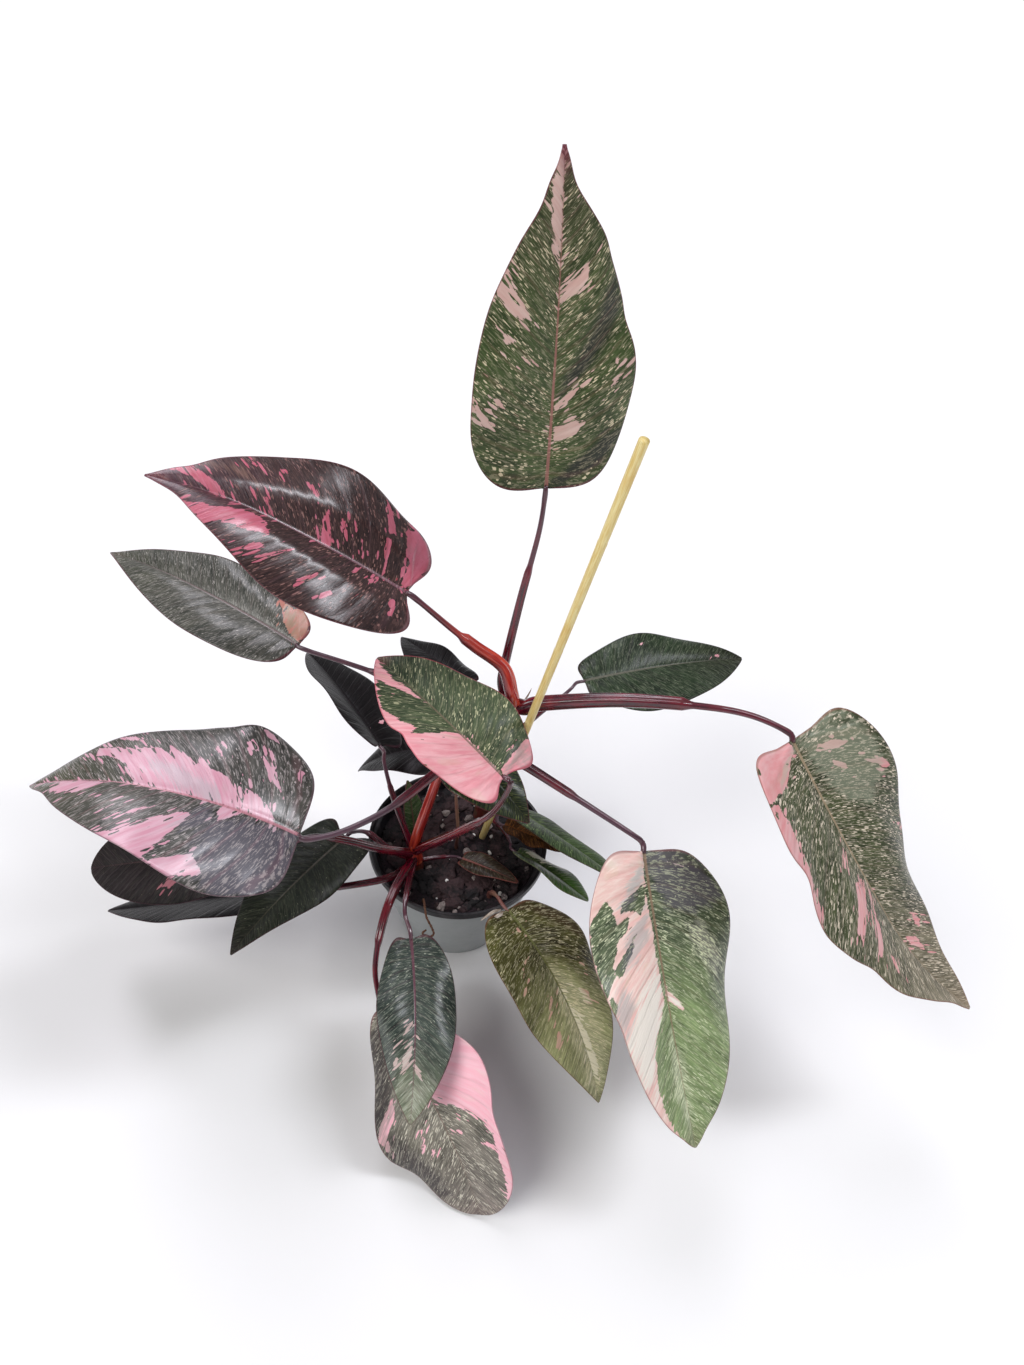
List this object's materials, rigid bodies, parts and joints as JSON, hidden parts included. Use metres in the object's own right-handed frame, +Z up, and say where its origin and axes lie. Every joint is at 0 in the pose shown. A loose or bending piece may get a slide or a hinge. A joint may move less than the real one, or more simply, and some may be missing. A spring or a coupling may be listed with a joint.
{
  "type": "potted pink princess philodendron",
  "caption": "Leafy philodendron with dark green and pink variegated heart-shaped leaves on red stalks, in a black nursery pot inside a grey pot, with a bamboo stake.",
  "frame": {"origin": "centre of the cover pot's flat base, on the surface it stands on", "axes": "+Z up, -Y towards the side that is seen first, +X to that viewer's right"},
  "size_m": [0.5588, 0.3284, 0.4926],
  "materials": {
    "cover_pot_plastic": "grey-green moulded plastic, satin",
    "nursery_pot_plastic": "black thin-walled plastic, satin",
    "potting_mix": "dark bark mix with pumice and perlite, rough",
    "bamboo": "pale yellow bamboo cane, satin",
    "petiole": "glossy maroon-red sheaths and stalks",
    "young_petiole": "reddish brown stalk, satin",
    "root": "brown aerial root, dull",
    "leaf_variegated": "waxy grey-green leaf with pink patches and cream specks",
    "leaf_olive": "waxy olive leaf with pink and cream specks",
    "leaf_dark": "waxy dark green leaf with a few pale streaks",
    "leaf_dried": "brown dried leaf, curled"
  },
  "bodies": {
    "root": {"cover_pot": "cover_pot_plastic", "nursery_pot": "nursery_pot_plastic", "potting_mix": "potting_mix", "stake": "bamboo", "stem_main": "petiole", "stem_side": "petiole", "stalk_young": "young_petiole", "stalk_front": "young_petiole", "aerial_root": "root", "leaf_top": "leaf_variegated", "leaf_glossy": "leaf_variegated", "leaf_left_back": "leaf_variegated", "leaf_centre": "leaf_variegated", "leaf_left_pink": "leaf_variegated", "leaf_right": "leaf_variegated", "leaf_right_front": "leaf_variegated", "leaf_front_olive": "leaf_olive", "leaf_front_small": "leaf_variegated", "leaf_front_low": "leaf_variegated", "leaf_back_right": "leaf_dark", "leaf_under_a": "leaf_dark", "leaf_under_b": "leaf_dark", "leaf_under_c": "leaf_dark", "leaf_behind_left": "leaf_dark", "leaf_behind_low": "leaf_dark", "leaf_behind_top": "leaf_dark", "leaf_low_mid": "leaf_variegated", "leaf_low_right": "leaf_variegated", "leaf_low_small": "leaf_variegated", "leaf_pot_brown": "leaf_olive", "leaf_pot_young": "leaf_variegated", "leaf_dried": "leaf_dried"}
  },
  "joints": []
}
